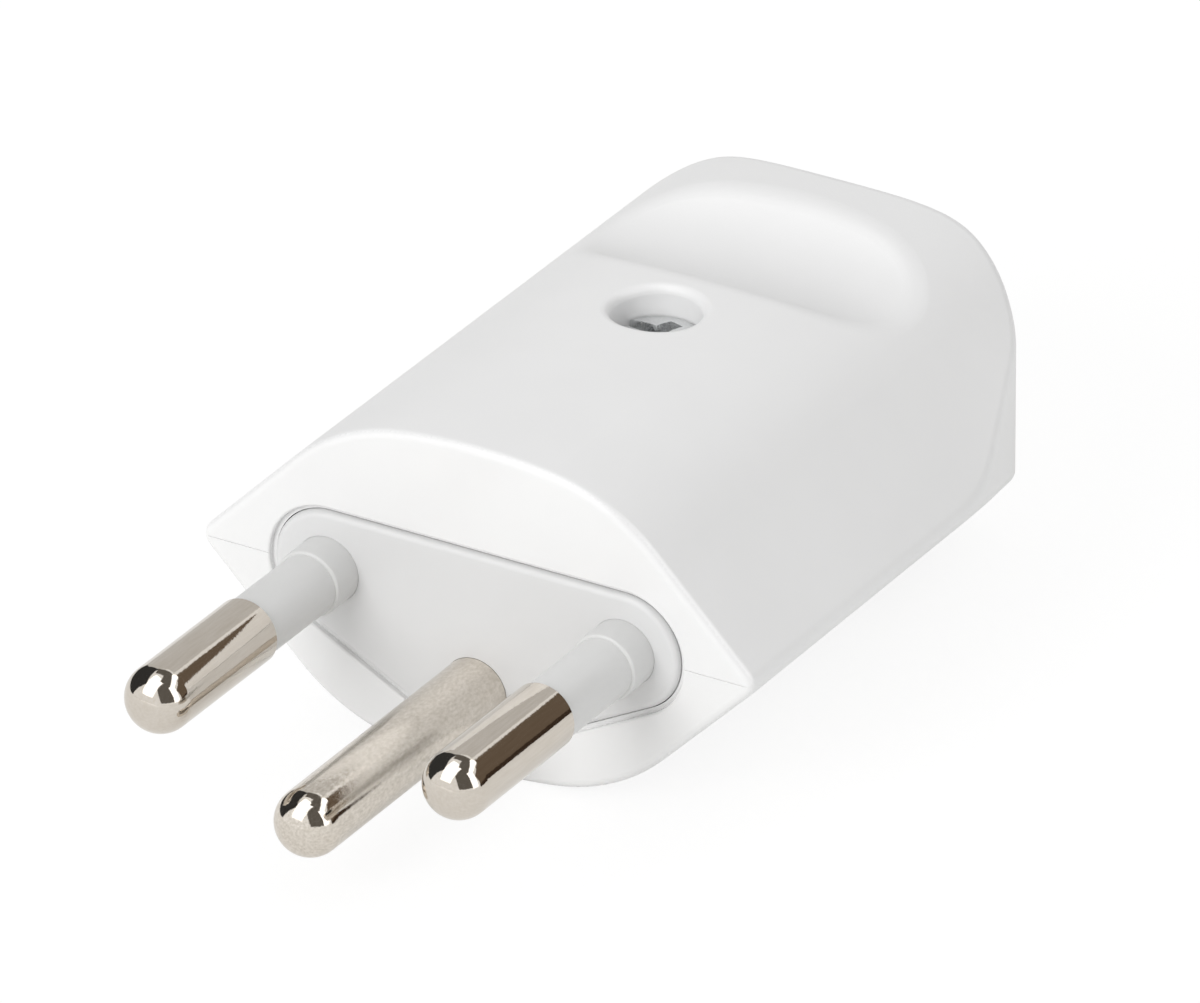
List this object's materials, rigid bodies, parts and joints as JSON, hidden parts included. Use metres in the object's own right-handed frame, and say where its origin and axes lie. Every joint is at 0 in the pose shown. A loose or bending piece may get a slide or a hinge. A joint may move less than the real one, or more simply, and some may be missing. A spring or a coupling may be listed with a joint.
{
  "type": "type j plug",
  "caption": "Rewirable Swiss-pattern mains plug with a white two-part housing, an earth pin set below sleeved outer pins, a finger groove and a cord clamp inside.",
  "frame": {"origin": "on the plug's face, in the middle of the line between the two outer pins", "axes": "+X to the right pin seen from the front, +Y from the face to the cord inlet with the pins pointing to -Y, +Z away from the earth pin towards the screw side"},
  "size_m": [0.0354, 0.0589, 0.02],
  "materials": {
    "white_shell": "moulded, finely matt",
    "grey_carrier": "moulded, smooth",
    "grey_sleeve": "moulded, satin",
    "nickel_pin": "turned and bright nickel plated",
    "zinc_screw": "bright zinc plated",
    "bronze_leaf": "rolled strip",
    "grey_clamp": "moulded, matt"
  },
  "bodies": {
    "root": {"upper_shell": "white_shell", "lower_shell": "white_shell", "pin_carrier": "grey_carrier", "left_pin": "nickel_pin", "right_pin": "nickel_pin", "earth_pin": "nickel_pin", "left_sleeve": "grey_sleeve", "right_sleeve": "grey_sleeve", "left_terminal_screw": "zinc_screw", "right_terminal_screw": "zinc_screw", "earth_terminal_screw": "zinc_screw", "left_wire_guard": "bronze_leaf", "right_wire_guard": "bronze_leaf", "earth_wire_guard": "bronze_leaf", "housing_screw": "zinc_screw", "housing_nut": "zinc_screw", "cord_clamp": "grey_clamp", "left_clamp_screw": "zinc_screw", "right_clamp_screw": "zinc_screw"}
  },
  "joints": []
}
